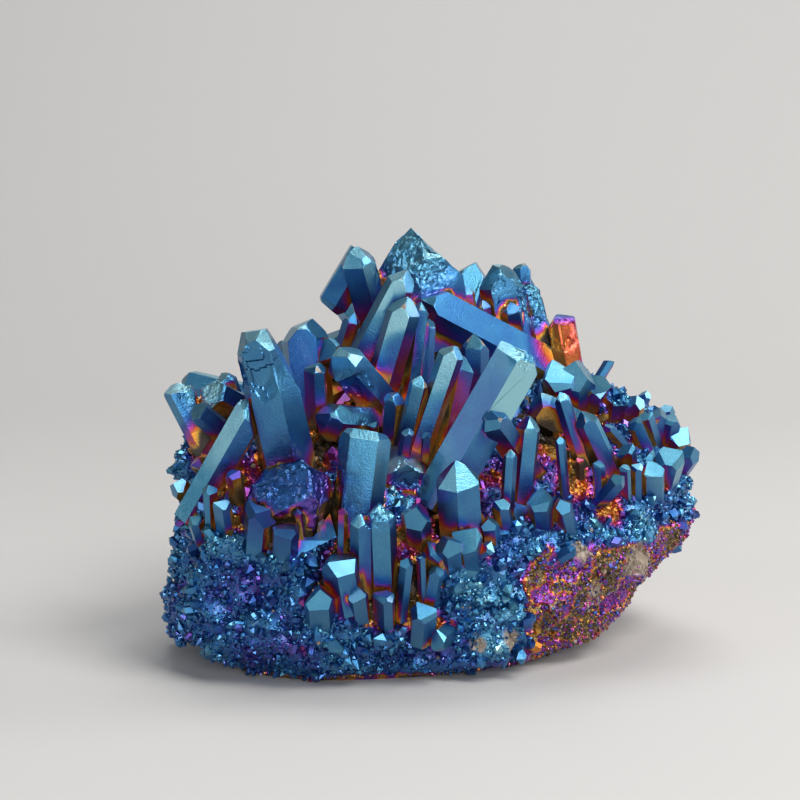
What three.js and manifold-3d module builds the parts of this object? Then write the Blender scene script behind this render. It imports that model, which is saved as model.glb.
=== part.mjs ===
// An aura quartz cluster: a rough quartz rock whose front and top are grown over with quartz points,
// all of it coated with a thin film of titanium. Millimetres, +Z up, +X to the right and +Y away from
// the side that the photograph shows. The origin is the middle of the base, on the surface it rests on.
import * as THREE from "three";
import { ConvexGeometry } from "three/addons/geometries/ConvexGeometry.js";
import { ImprovedNoise } from "three/addons/math/ImprovedNoise.js";
import { mergeVertices } from "three/addons/utils/BufferGeometryUtils.js";
import Module from "manifold-3d";

const wasm = await Module();
wasm.setup();

// The photograph: where its camera stood, so that a pixel of it can be turned into a line of sight.
const FRAME = 800; // pixels across and down
const LENS = 100 / 36; // focal length over the width of the picture
const ELEVATION = THREE.MathUtils.degToRad(8);
const DISTANCE = 440; // from the camera to the point in the middle of the picture
const AIM = new THREE.Vector3(-5.7, 0, 48.4); // that point

// The rock: how far it reaches at each height, as [height, reach] pairs.
const LEFT_SIDE = [[0, -38], [3, -44], [7, -50.5], [11, -50.5], [16, -48.5], [25, -47.5], [33, -48.5],
  [40, -46], [46, -41], [51, -32], [55, -24], [59, -18], [62, -13], [64, -7]];
const RIGHT_SIDE = [[0, 24], [2, 35], [6, 40], [12, 45], [18, 48.5], [25, 51], [33, 51.5], [40, 50],
  [45, 46.5], [49, 39], [52, 33], [55, 28], [59, 22], [62, 18], [64, 13]];
const FRONT = [[0, -29], [3, -33.5], [8, -37], [15, -39], [24, -38], [30, -35], [35, -29], [40, -21],
  [46, -12], [52, -3], [57, 4], [61, 8], [64, 11]];
const BACK = [[0, 25], [4, 30], [12, 35], [22, 37], [32, 36], [42, 32],
  [50, 27], [56, 23], [61, 20], [64, 16]];
const ROCK_HEIGHT = 64;
const SKEW = 0.2; // the right side lies further back than the left
const SQUARENESS = 2.5; // of the outline, where 2 is an ellipse
const RINGS = 17;
const SPOKES = 36;
const LUMPS = [[15, 4.2], [6.5, 2.7], [3.4, 1.3]]; // size and depth of the rock's lumps
const FLAT_BELOW = 1.2; // no lumps below this height, so that the rock rests flat

// Quartz: the angle between a termination face and the prism's axis, and how crystals are set.
const TIP_SLOPE = THREE.MathUtils.degToRad(38.2);
const ROOT_DEPTH = 3.5; // how far a crystal goes on into the rock
const CLEARANCE = 0.3; // between a crystal and the rock round its root
const SLIVER = 0.07; // detail narrower than this is smoothed away at the seams
const LARGER_FACE = [0, 0.04]; // how much further out than the apex a large termination face may lie
const SMALLER_FACE = [0.05, 0.16]; // the same for the small faces between them, over the crystal's width
const CREST = THREE.MathUtils.degToRad(60); // between two prism faces
const UPRIGHT = 0.22; // how far each tip stands back over the crystal's length

// Every number that varies from piece to piece comes from this generator, so each run is the same.
let state = 20731;
function random(low = 0, high = 1) {
  state = (state * 1664525 + 1013904223) >>> 0;
  return low + (high - low) * (state / 4294967296);
}

// The value of a curve given as [place, value] pairs, with straight stretches between them.
function along(curve, place) {
  if (place <= curve[0][0]) return curve[0][1];
  for (let i = 1; i < curve.length; i++) {
    const [p0, v0] = curve[i - 1];
    const [p1, v1] = curve[i];
    if (place <= p1) return v0 + ((v1 - v0) * (place - p0)) / (p1 - p0);
  }
  return curve.at(-1)[1];
}

// The rock's outline at a height: its middle, and its reach from there in a direction.
function outline(z) {
  const [left, right, front, back] = [LEFT_SIDE, RIGHT_SIDE, FRONT, BACK].map((side) => along(side, z));
  const middle = new THREE.Vector2((left + right) / 2, (front + back) / 2);
  const half = new THREE.Vector2((right - left) / 2, (back - front) / 2);
  const reach = (angle) =>
    (Math.abs(Math.cos(angle) / half.x) ** SQUARENESS + Math.abs(Math.sin(angle) / half.y) ** SQUARENESS) **
    (-1 / SQUARENESS);
  return { middle, reach };
}

// A point of the smooth rock, at a height and in a direction round it.
function onRock(z, angle, grow = 0) {
  const { middle, reach } = outline(z);
  const r = reach(angle) + grow;
  const x = middle.x + r * Math.cos(angle);
  return new THREE.Vector3(x, middle.y + r * Math.sin(angle) + SKEW * x, z);
}

function insideRock(p) {
  if (p.z < 0 || p.z > ROCK_HEIGHT) return false;
  const { middle, reach } = outline(p.z);
  const x = p.x - middle.x;
  const y = p.y - SKEW * p.x - middle.y;
  return Math.hypot(x, y) < reach(Math.atan2(y, x));
}

const forward = new THREE.Vector3(0, Math.cos(ELEVATION), -Math.sin(ELEVATION));
const upward = new THREE.Vector3(0, Math.sin(ELEVATION), Math.cos(ELEVATION));
const rightward = new THREE.Vector3(1, 0, 0);
const cameraPlace = AIM.clone().addScaledVector(forward, -DISTANCE);

// The point that a pixel of the photograph shows, where its line of sight passes the depth y.
function seen([u, v], y) {
  const sight = forward
    .clone()
    .addScaledVector(rightward, (u - FRAME / 2) / (FRAME * LENS))
    .addScaledVector(upward, (FRAME / 2 - v) / (FRAME * LENS));
  return cameraPlace.clone().addScaledVector(sight, (y - cameraPlace.y) / sight.y);
}

// The point where a pixel's line of sight meets the rock. A line that misses it ends at the depth behind.
function seenRock(pixel, behind = 12) {
  const STEP = 0.5;
  for (let y = -60; y < behind; y += STEP) {
    const p = seen(pixel, y);
    if (insideRock(p)) return p;
  }
  return seen(pixel, behind);
}

function manifoldOf(vertices, triangles) {
  const vertProperties = new Float32Array(vertices);
  const triVerts = new Uint32Array(triangles);
  return new wasm.Manifold(new wasm.Mesh({ numProp: 3, vertProperties, triVerts }));
}

// The convex solid that a list of planes { normal, distance } closes in.
function solidWithin(planes) {
  const corners = [];
  const NEAR = 1e-5;
  const APART = 0.02; // corners nearer than this are one corner
  for (let a = 0; a < planes.length; a++)
    for (let b = a + 1; b < planes.length; b++)
      for (let c = b + 1; c < planes.length; c++) {
        const [p, q, r] = [planes[a], planes[b], planes[c]];
        const qr = q.normal.clone().cross(r.normal);
        const det = p.normal.dot(qr);
        if (Math.abs(det) < NEAR) continue;
        const corner = qr
          .multiplyScalar(p.distance)
          .addScaledVector(r.normal.clone().cross(p.normal), q.distance)
          .addScaledVector(p.normal.clone().cross(q.normal), r.distance)
          .divideScalar(det);
        const within = planes.every((plane) => plane.normal.dot(corner) <= plane.distance + NEAR);
        if (within && !corners.some((other) => other.distanceTo(corner) < APART)) corners.push(corner);
      }
  const hull = new ConvexGeometry(corners);
  hull.deleteAttribute("normal");
  const joined = mergeVertices(hull, 1e-5);
  return manifoldOf(joined.attributes.position.array, joined.index.array);
}

// Half the width that six prism faces leave between them, square to the line of sight.
function halfWidth(turns, reaches) {
  let widest = 0;
  for (let i = 0; i < 6; i++) {
    const j = (i + 1) % 6;
    const det = Math.sin(turns[j] - turns[i]);
    const y = (reaches[j] * Math.cos(turns[i]) - reaches[i] * Math.cos(turns[j])) / det;
    widest = Math.max(widest, Math.abs(y));
  }
  return widest;
}

// The planes of a quartz crystal from root to tip. across is its width in the photograph and thick its
// width the other way. roll is how far one prism face is turned from facing the camera towards the
// crystal's right, aside how far the apex lies to that side of the middle, and plain leaves out the three
// smaller termination faces. cuts are flat breaks or steep faces [turn, rise, out]: turn as for roll, rise
// above square to the axis, and out the distance from the tip, with less than nothing for a cut below it.
function crystalPlanes(crystal) {
  const { root, tip, across, roll = 0, aside = 0, uneven = 0.1, plain = false, cuts = [] } = crystal;
  const { thick = across * 0.88 } = crystal;
  const axis = tip.clone().sub(root);
  const length = axis.length();
  axis.normalize();
  const facing = forward.clone().negate();
  facing.addScaledVector(axis, -facing.dot(axis)).normalize();
  const side = axis.clone().cross(facing);
  const leaning = (turn, rise) =>
    facing
      .clone()
      .multiplyScalar(Math.cos(turn) * Math.cos(rise))
      .addScaledVector(side, Math.sin(turn) * Math.cos(rise))
      .addScaledVector(axis, Math.sin(rise));

  const turns = [0, 1, 2, 3, 4, 5].map((i) => THREE.MathUtils.degToRad(roll) + i * CREST);
  const reaches = turns.map(
    (turn) => (thick * Math.cos(turn) ** 2 + across * Math.sin(turn) ** 2) * random(1 - uneven, 1 + uneven),
  );
  const fit = across / 2 / halfWidth(turns, reaches);
  const planes = turns.map((turn, i) => {
    const normal = leaning(turn, 0);
    return { normal, distance: normal.dot(root) + reaches[i] * fit };
  });
  const apex = tip.clone().addScaledVector(side, (aside * across) / 2);
  const larger = random() < 0.5 ? 0 : 1;
  turns.forEach((turn, i) => {
    const isLarger = i % 2 === larger;
    const further = random(...(isLarger ? LARGER_FACE : SMALLER_FACE));
    if (plain && !isLarger) return;
    const normal = leaning(turn, TIP_SLOPE);
    planes.push({ normal, distance: normal.dot(apex) + further * across });
  });
  for (const [turn, rise, out] of cuts) {
    const normal = leaning(THREE.MathUtils.degToRad(turn), THREE.MathUtils.degToRad(rise));
    planes.push({ normal, distance: normal.dot(tip) + out });
  }
  const end = axis.clone().negate();
  planes.push({ normal: end, distance: end.dot(root) + Math.min(ROOT_DEPTH, length * 0.4) });
  return planes;
}

const socketOf = (planes) =>
  solidWithin(planes.map(({ normal, distance }) => ({ normal, distance: distance + CLEARANCE })));

// The crystals that the photograph shows, each read off it as the pixel of its tip and the pixel where it
// leaves the rock. nearer is how much closer to the camera the tip is than one that stands back by UPRIGHT,
// and behind the depth of a root that the rock doesn't reach. The rest is as crystalPlanes says, in
// millimetres and degrees.
const POINTS = [
  { name: "top_peak", tip: [411, 230], root: [427, 336], nearer: 2, behind: 15, across: 18, thick: 14,
    roll: 30, uneven: 0.03 },
  { name: "long_diagonal", tip: [531, 336], root: [442, 491], nearer: 7, across: 9, thick: 8, roll: -30,
    uneven: 0.04, cuts: [[180, 66, -3.4], [100, 50, 0.2]] },
  { name: "left_blade", tip: [254, 320], root: [287, 464], nearer: 9, across: 11, thick: 8.6, roll: -12,
    cuts: [[90, 16, 1.2], [-90, 24, 1.8], [-30, 70, -1.6], [160, 82, -2]] },
  { name: "left_pointer", tip: [256, 403], root: [198, 505], nearer: 7, across: 6, thick: 5, roll: 24,
    aside: -0.5 },
  { name: "left_slant_prism", tip: [190, 404], root: [236, 442], nearer: 7, across: 4.6, roll: 18,
    cuts: [[0, 78, -2]] },
  { name: "left_edge_block", tip: [171, 376], root: [206, 444], nearer: 4, across: 6.2, thick: 6, roll: 8,
    cuts: [[40, 72, -2.4]] },
  { name: "left_sparkling_block", tip: [201, 388], root: [242, 410], nearer: 11, across: 6.4, roll: 25,
    cuts: [[0, 88, -3]] },
  { name: "left_rear_block", tip: [222, 370], root: [236, 414], nearer: 4, across: 4.6, roll: 12,
    cuts: [[-60, 70, -1.2]] },
  { name: "left_rear_point", tip: [182, 380], root: [250, 396], nearer: -5, across: 5, roll: 15 },
  { name: "left_shoulder_point", tip: [303, 315], root: [309, 404], nearer: 1, across: 9.6, thick: 8.6,
    roll: -8, cuts: [[-60, 66, -1.4]] },
  { name: "dark_ended_stub", tip: [320, 345], root: [346, 372], nearer: 13, across: 5.8, roll: 30,
    cuts: [[0, 88, -2.4]] },
  { name: "teal_stub", tip: [315, 360], root: [318, 424], nearer: 7, across: 4.4, roll: 20,
    cuts: [[-120, 70, -1]] },
  { name: "dark_diagonal", tip: [335, 349], root: [388, 412], nearer: 10, across: 7.8, thick: 7, roll: 30,
    cuts: [[-80, 40, 0.6], [30, 70, -1]] },
  { name: "hexagonal_stub", tip: [315, 421], root: [364, 425], nearer: 9, across: 7.2, thick: 6.8, roll: 28,
    cuts: [[0, 80, -1.4]] },
  { name: "bright_front_block", tip: [369, 414], root: [356, 516], nearer: 4, across: 9.8, thick: 8.8,
    roll: -3, cuts: [[170, 74, -3.2]] },
  { name: "middle_prism", tip: [395, 390], root: [391, 444], nearer: 5, across: 4.2, roll: -22,
    cuts: [[-100, 66, -0.6]] },
  { name: "bright_blade", tip: [455, 344], root: [416, 458], nearer: 8, across: 5, roll: 2,
    cuts: [[-140, 60, -0.4]] },
  { name: "narrow_blade", tip: [421, 376], root: [402, 454], nearer: 7, across: 4, roll: -4 },
  { name: "low_thin_prism", tip: [409, 428], root: [401, 474], nearer: 5, across: 2.5, roll: 10 },
  { name: "gold_wedge", tip: [463, 356], root: [442, 452], nearer: 2, across: 6, thick: 5, roll: 34 },
  { name: "front_spear", tip: [456, 461], root: [461, 536], nearer: 8, across: 8, thick: 7, roll: 28 },
  { name: "right_tall_prism", tip: [529, 416], root: [521, 492], nearer: 5, across: 4.8, roll: 14 },
  { name: "right_twin_prism", tip: [511, 449], root: [507, 514], nearer: 5, across: 2.6, roll: -6 },
  { name: "crossing_prism", tip: [487, 412], root: [528, 470], nearer: 17, across: 5.2, roll: 30,
    cuts: [[0, 76, -1]] },
  { name: "violet_bar", tip: [524, 402], root: [565, 424], nearer: 4, across: 7.4, roll: -12,
    cuts: [[0, 80, -2.4]] },
  { name: "right_slim_prism", tip: [560, 392], root: [581, 460], nearer: 5, across: 3.3, roll: 14 },
  { name: "right_spear", tip: [582, 412], root: [608, 468], nearer: 6, across: 4.6, roll: 4 },
  { name: "bare_ended_point", tip: [559, 308], root: [571, 380], nearer: 1, behind: 15, across: 6, roll: 24,
    cuts: [[20, 66, -1.6]] },
  { name: "rough_column", tip: [525, 279], root: [543, 352], nearer: 2, behind: 13, across: 5.4, roll: 12,
    cuts: [[-60, 70, -0.8]] },
  { name: "rear_knob", tip: [522, 260], root: [523, 332], nearer: 0, behind: 16, across: 3.8, roll: 20,
    cuts: [[-90, 76, -0.8]] },
  { name: "upper_right_tablet", tip: [497, 262], root: [513, 348], nearer: 5, behind: 11, across: 9.8,
    thick: 6.6, roll: 8, cuts: [[-90, 34, 3.4], [60, 76, -0.6]] },
  { name: "small_pentagon", tip: [510, 302], root: [515, 344], nearer: 7, behind: 9, across: 4.4, roll: 10 },
  { name: "long_teal_point", tip: [416, 299], root: [544, 366], nearer: 15, across: 8.4, thick: 7, roll: 26,
    cuts: [[120, 50, 1.6]] },
  { name: "falling_point", tip: [475, 334], root: [473, 418], nearer: 5, across: 5.6, thick: 5, roll: -12 },
  { name: "spoon_point", tip: [408, 270], root: [350, 380], nearer: 9, across: 6, thick: 5.2, roll: 0,
    cuts: [[-90, 50, 1.2]] },
  { name: "centre_tablet", tip: [408, 297], root: [377, 402], nearer: 7, across: 6.6, thick: 5.4, roll: -6 },
  { name: "red_blade", tip: [421, 302], root: [409, 402], nearer: 3, across: 3.6, roll: 20 },
  { name: "blue_recess_blade", tip: [428, 318], root: [424, 400], nearer: 2, across: 3.4, roll: -14 },
  { name: "upper_left_prism", tip: [355, 246], root: [378, 332], nearer: 11, behind: 12, across: 7, roll: 32,
    cuts: [[10, 64, -0.8]] },
  { name: "upper_left_stub", tip: [325, 318], root: [355, 268], nearer: 3.4, behind: 5.5, across: 6.4,
    roll: 20, cuts: [[90, 80, -2]] },
  { name: "cyan_sliver", tip: [354, 313], root: [339, 364], nearer: 6, across: 3.5, roll: 14 },
  { name: "hexagonal_column", tip: [425, 256], root: [423, 316], nearer: 6, behind: 8, across: 4.2, roll: -14,
    cuts: [[0, 86, -1.6]] },
  { name: "arch_point", tip: [466, 286], root: [472, 328], nearer: 3, behind: 8, across: 3, roll: 10 },
  { name: "arch_side_point", tip: [483, 300], root: [486, 330], nearer: 3, behind: 7, across: 2.8, roll: 30 },
  { name: "low_dark_stub", tip: [404, 491], root: [405, 468], nearer: 11, across: 8.2, roll: 30,
    cuts: [[0, 88, -3.4]] },
  { name: "front_capped_prism", tip: [379, 502], root: [382, 580], nearer: 9, across: 6.2, roll: 2,
    cuts: [[0, 46, 0]] },
  { name: "front_side_prism", tip: [362, 514], root: [363, 580], nearer: 8, across: 4.4, roll: 12,
    cuts: [[0, 50, 0]] },
  { name: "etched_block", tip: [306, 449], root: [286, 514], nearer: 8, across: 16, thick: 12, roll: 14,
    cuts: [[-20, 30, -0.6], [150, 60, -2], [60, 44, -0.4], [-90, 52, -2.6], [10, 62, -1.6]] },
];

// Small crystals that the photograph shows, one body with the rock: [tip, root, nearer, across].
const SMALL_POINTS = [
  [[612, 358], [596, 384], -2, 2.3], [[374, 422], [375, 442], 3, 2], [[427, 432], [425, 476], 3, 1.9],
  [[605, 426], [627, 450], 5, 2.4], [[560, 437], [565, 492], 4, 2], [[598, 460], [600, 500], 4, 2.6],
  [[579, 458], [580, 476], 3, 1.8], [[622, 476], [600, 500], 5, 3.4], [[408, 558], [403, 604], 4, 2.6],
  [[421, 552], [423, 598], 4, 1.9], [[437, 567], [430, 603], 4, 3.1], [[434, 544], [440, 572], 5, 4.6],
  [[494, 545], [470, 558], 3, 2.6], [[343, 508], [342, 566], 3, 1.9], [[416, 508], [417, 540], 7, 5.4],
  [[309, 502], [316, 524], 5, 4], [[297, 506], [301, 536], 3, 2.6], [[209, 485], [211, 532], 4, 3],
  [[358, 590], [361, 612], 5, 4], [[384, 590], [385, 614], 5, 4.2], [[632, 417], [646, 449], 4, 3.2],
  [[644, 412], [655, 447], 4, 3.4], [[655, 408], [657, 440], 3, 4.6], [[672, 412], [664, 445], 3, 5],
  [[686, 428], [670, 450], 4, 6], [[694, 448], [677, 472], 4, 4.6], [[672, 450], [664, 478], 7, 6],
  [[626, 444], [630, 472], 5, 4.2], [[625, 464], [626, 492], 4, 2.4], [[637, 463], [637, 492], 4, 2.4],
  [[652, 464], [652, 490], 6, 5], [[575, 362], [572, 404], 5, 9], [[556, 366], [560, 400], 7, 7],
  [[594, 372], [590, 404], 5, 8], [[618, 385], [612, 412], 2, 6.5], [[636, 396], [630, 420], 2, 5.5],
  [[340, 546], [348, 590], 4, 8], [[262, 500], [258, 540], 5, 6], [[288, 520], [286, 552], 5, 5.4],
  [[466, 532], [470, 558], 7, 6], [[448, 540], [450, 566], 7, 5], [[488, 520], [490, 540], 4, 4],
  [[500, 500], [505, 524], 4, 3.4], [[540, 492], [543, 516], 5, 5.4], [[560, 500], [566, 522], 4, 4],
  [[174, 484], [188, 494], 3, 4], [[232, 468], [238, 500], 3, 3.2], [[222, 500], [226, 530], 4, 3.6],
  [[194, 516], [202, 540], 4, 3], [[424, 606], [422, 630], 5, 5], [[320, 590], [322, 616], 5, 6],
];

// Larger points on the back, where the photograph doesn't reach. They stand in rows, steep on the ridge
// and flatter below it: height, how many, tilt above level, and the directions from and to, in degrees
// round the rock with 90 straight away from the camera.
const BACK_ROWS = [
  { height: 58, count: 5, tilt: 50, from: 30, to: 125 },
  { height: 54, count: 5, tilt: 40, from: 28, to: 146 },
  { height: 49, count: 6, tilt: 32, from: 30, to: 160 },
  { height: 43, count: 5, tilt: 16, from: 42, to: 150 },
];
const BACK_ACROSS = [6, 9];
const BACK_LENGTHENING = [1.9, 2.4]; // length over width

// The crust of small points over the rock: how many, and how they are spread and sized.
const CRUST = { count: 19, across: [2, 4.6], lengthening: [0.7, 1.4], spread: 0.55, lowest: 5, onFront: 0.7 };
const CRUST_DEPTH = 0.6; // how far below the rock's surface a point of the crust starts

const OVERLAP = 0.005; // cubic millimetres that crystals share when they have grown into each other

function pointFrom({ name, tip: tipPixel, root: rootPixel, nearer, behind, ...shape }) {
  const root = seenRock(rootPixel, behind);
  const length = seen(tipPixel, root.y).distanceTo(root);
  const tip = seen(tipPixel, root.y - nearer + UPRIGHT * length);
  return { name, planes: crystalPlanes({ root, tip, ...shape }) };
}

function backPointsOf({ height, count, tilt, from, to }) {
  return Array.from({ length: count }, (_, i) => {
    const turn = THREE.MathUtils.degToRad(from + ((to - from) * (i + random(0.2, 0.8))) / count);
    const rise = THREE.MathUtils.degToRad(tilt + random(-9, 9));
    const across = random(...BACK_ACROSS);
    const root = onRock(height + random(-1.5, 1.5), turn, -1);
    const level = new THREE.Vector3(Math.cos(turn), Math.sin(turn), 0).multiplyScalar(Math.cos(rise));
    const out = level.setZ(Math.sin(rise));
    const tip = root.clone().addScaledVector(out, across * random(...BACK_LENGTHENING));
    const broken = [random(0, 360), random(50, 80), random(-0.2, 0.1) * across];
    return { planes: crystalPlanes({ root, tip, across, roll: random(0, 60), plain: true, cuts: [broken] }) };
  });
}

// A small crystal has fewer faces, and every other one is broken short.
function smallPlanes(root, tip, across) {
  const shape = { root, tip, across, roll: random(0, 60), uneven: 0.2, plain: true };
  if (random() < 0.5) shape.cuts = [[random(0, 360), random(60, 85), -0.3 * across]];
  return crystalPlanes(shape);
}

function smallPointFrom([tipPixel, rootPixel, nearer, across]) {
  const root = seenRock(rootPixel);
  return smallPlanes(root, seen(tipPixel, root.y - nearer), across);
}

// One point of the crust, set on the rock at random and leaning out of it.
function crustPoint() {
  const z = random(CRUST.lowest, ROCK_HEIGHT - 4);
  const turn = random() < CRUST.onFront ? random(-Math.PI, 0) : random(0, Math.PI);
  const root = onRock(z, turn, -CRUST_DEPTH);
  const beside = onRock(z, turn + 0.05).sub(onRock(z, turn - 0.05));
  const above = onRock(z + 1, turn).sub(onRock(z - 1, turn));
  const out = beside.cross(above).normalize();
  const across = random(...CRUST.across);
  const lean = new THREE.Vector3(random(-1, 1), random(-1, 1), random(-0.4, 1)).multiplyScalar(CRUST.spread);
  const tip = root.clone().addScaledVector(out.add(lean).normalize(), across * random(...CRUST.lengthening));
  return smallPlanes(root, tip, across);
}

// The rock itself: rings of points from the flat base to the ridge, pushed in and out by its lumps.
function rockSolid() {
  const noise = new ImprovedNoise();
  const vertices = [];
  const triangles = [];
  const baseMiddle = onRock(0, 0).add(onRock(0, Math.PI)).multiplyScalar(0.5);
  for (let ring = 0; ring < RINGS; ring++) {
    const z = ROCK_HEIGHT * (ring / (RINGS - 1));
    for (let spoke = 0; spoke < SPOKES; spoke++) {
      const turn = (spoke / SPOKES) * Math.PI * 2;
      const p = onRock(z, turn);
      const push = LUMPS.reduce((sum, [size, depth], i) => {
        return sum + depth * noise.noise(p.x / size + 7 * i, p.y / size, p.z / size);
      }, 0);
      vertices.push(...onRock(z, turn, z < FLAT_BELOW ? 0 : push).toArray());
    }
  }
  const at = (ring, spoke) => ring * SPOKES + (spoke % SPOKES);
  for (let ring = 0; ring + 1 < RINGS; ring++)
    for (let spoke = 0; spoke < SPOKES; spoke++) {
      const [a, b] = [at(ring, spoke), at(ring, spoke + 1)];
      const [c, d] = [at(ring + 1, spoke + 1), at(ring + 1, spoke)];
      triangles.push(a, b, c, a, c, d);
    }
  const base = vertices.push(...baseMiddle.toArray()) / 3 - 1;
  const ridge = onRock(ROCK_HEIGHT, 0).add(onRock(ROCK_HEIGHT, Math.PI)).multiplyScalar(0.5);
  const crown = vertices.push(ridge.x, ridge.y, ROCK_HEIGHT + 1) / 3 - 1;
  for (let spoke = 0; spoke < SPOKES; spoke++) {
    triangles.push(base, at(0, spoke + 1), at(0, spoke));
    triangles.push(crown, at(RINGS - 1, spoke), at(RINGS - 1, spoke + 1));
  }
  return manifoldOf(vertices, triangles);
}

// Crystals that have grown into each other are one piece, named after the first of them.
function grownTogether(points) {
  const groups = [];
  for (const point of points) {
    const solid = solidWithin(point.planes);
    const touching = groups.filter((group) => group.solid.intersect(solid).volume() > OVERLAP);
    const kept = touching[0] ?? { name: point.name };
    if (!touching.length) groups.push(kept);
    const parts = [...touching.map((group) => group.solid), solid];
    kept.solid = parts.reduce((sum, part) => sum.add(part));
    kept.planes = [...touching.flatMap((group) => group.planes), point.planes];
    for (const group of touching.slice(1)) groups.splice(groups.indexOf(group), 1);
  }
  return groups;
}

// A joined or cut solid without the slivers that its seams leave.
function tidied(solid) {
  return solid.asOriginal().simplify(SLIVER);
}

function largestPart(solid) {
  return solid.decompose().reduce((best, part) => (part.volume() > best.volume() ? part : best));
}

function geometryOf(solid) {
  const mesh = solid.getMesh();
  const geometry = new THREE.BufferGeometry();
  geometry.setAttribute("position", new THREE.BufferAttribute(Float32Array.from(mesh.vertProperties), 3));
  geometry.setIndex(new THREE.BufferAttribute(Uint32Array.from(mesh.triVerts), 1));
  return geometry;
}

const filmed = new THREE.MeshStandardMaterial({ color: 0x2f7fa6, roughness: 0.3, metalness: 0.9 });
const rough = new THREE.MeshStandardMaterial({ color: 0x2a5286, roughness: 0.45, metalness: 0.7 });

const backPoints = BACK_ROWS.flatMap(backPointsOf);
const groups = grownTogether([...POINTS.map(pointFrom), ...backPoints]);
groups.filter((group) => !group.name).forEach((group, i) => (group.name = `back_point_${i + 1}`));
const crust = [...SMALL_POINTS.map(smallPointFrom), ...Array.from({ length: CRUST.count }, crustPoint)];
const sockets = groups.flatMap((group) => group.planes.map(socketOf));
const crusted = crust.reduce((sum, planes) => sum.add(solidWithin(planes)), rockSolid());
const rock = largestPart(tidied(crusted.subtract(sockets.reduce((sum, socket) => sum.add(socket)))));

const cluster = new THREE.Group();
const pieces = [["rock", rock, rough], ...groups.map((group) => [group.name, tidied(group.solid), filmed])];
for (const [name, solid, material] of pieces) {
  const mesh = new THREE.Mesh(geometryOf(solid), material);
  mesh.name = name;
  cluster.add(mesh);
}

// The origin is the middle of the whole cluster's base.
const box = new THREE.Box3().setFromObject(cluster, true);
const centre = box.getCenter(new THREE.Vector3());
cluster.position.set(-centre.x, -centre.y, -box.min.z);

export default cluster;
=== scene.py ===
# %% [markdown]
# # An aura quartz cluster
# Quartz grows in hot water as six-sided points, crowded side by side on a lump of rock. A workshop then
# heats the cluster in a vacuum and lets titanium vapour settle on it as a film thinner than a soap bubble.
# Its thickness alone decides the colour: gold where little landed, then red, violet and blue, and teal where
# most did. The frame holds the shapes of the rock and of every large point. This script gives them what makes
# them real: worn edges, broken ends, the druse of tiny crystals, and the film's own play of colour.

# %% Load the frame
import itertools
import math

import bmesh
import bpy
import numpy as np
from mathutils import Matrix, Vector
from mathutils.bvhtree import BVHTree


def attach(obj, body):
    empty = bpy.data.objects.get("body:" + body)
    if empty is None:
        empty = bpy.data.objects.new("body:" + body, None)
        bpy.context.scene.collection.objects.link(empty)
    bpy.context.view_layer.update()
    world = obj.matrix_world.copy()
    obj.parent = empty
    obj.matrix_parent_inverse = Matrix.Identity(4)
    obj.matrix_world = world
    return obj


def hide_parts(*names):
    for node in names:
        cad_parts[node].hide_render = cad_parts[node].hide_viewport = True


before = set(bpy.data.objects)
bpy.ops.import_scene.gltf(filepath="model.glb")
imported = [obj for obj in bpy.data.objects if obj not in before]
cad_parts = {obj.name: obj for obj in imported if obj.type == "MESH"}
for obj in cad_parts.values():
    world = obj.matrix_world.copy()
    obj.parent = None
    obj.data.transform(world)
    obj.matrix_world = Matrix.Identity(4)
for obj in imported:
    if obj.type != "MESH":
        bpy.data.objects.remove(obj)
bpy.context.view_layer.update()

MM = 0.001  # a millimetre in Blender's metres
chance = np.random.default_rng(4711)
print("nodes in the frame:", len(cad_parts))

# %% [markdown]
# ## The camera
# The photograph was taken from a little above, from a long way off for so small a thing, so the points hardly
# shrink with distance. A 100 mm lens on a full-frame sensor does the same. It comes first, because a few
# details further down are placed by the pixel where the photograph shows them.

# %% Camera
PHOTO_SIDE = 800  # pixels across and down
SENSOR = 36.0
LENS = 100.0
ELEVATION = math.radians(8)
DISTANCE = 440.0  # millimetres from the camera to the point in the middle of the picture
AIM = np.array([-6.2, -0.7, 48.4])

view_forward = np.array([0.0, math.cos(ELEVATION), -math.sin(ELEVATION)])
view_upward = np.array([0.0, math.sin(ELEVATION), math.cos(ELEVATION)])
view_rightward = np.array([1.0, 0.0, 0.0])
camera_place = AIM - DISTANCE * view_forward

camera_data = bpy.data.cameras.new("camera")
camera_data.lens = LENS
camera_data.sensor_width = SENSOR
camera_data.clip_start = 0.01
camera_data.clip_end = 20.0
camera = bpy.data.objects.new("camera", camera_data)
camera.location = Vector(camera_place * MM)
camera.rotation_euler = (math.radians(90) - ELEVATION, 0.0, 0.0)
bpy.context.scene.collection.objects.link(camera)
bpy.context.scene.camera = camera
print("camera at", [round(float(x)) for x in camera_place], "mm")

# %% [markdown]
# ## Reading the frame
# Numbers by the ten thousand are slow to handle one at a time in Python, so the meshes are kept as NumPy
# arrays, in millimetres, and turned into Blender meshes at the end. A BVH tree of the whole model answers
# the question that comes up again and again: what does a line starting here, going there, run into?

# %% Meshes as arrays
def node_arrays(name):
    """A node's corners in millimetres, with doubles merged, and its triangles."""
    mesh = bmesh.new()
    mesh.from_mesh(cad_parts[name].data)
    bmesh.ops.remove_doubles(mesh, verts=mesh.verts, dist=1e-6)
    bmesh.ops.triangulate(mesh, faces=mesh.faces)
    points = np.array([vertex.co for vertex in mesh.verts]) / MM
    triangles = np.array([[vertex.index for vertex in face.verts] for face in mesh.faces])
    mesh.free()
    return points, triangles


def tree_of(parts):
    """One BVH tree of several (points, triangles)."""
    points, triangles, count = [], [], 0
    for part_points, part_triangles in parts:
        points.append(part_points)
        triangles.append(part_triangles + count)
        count += len(part_points)
    return BVHTree.FromPolygons(np.vstack(points).tolist(), np.vstack(triangles).tolist())


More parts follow.
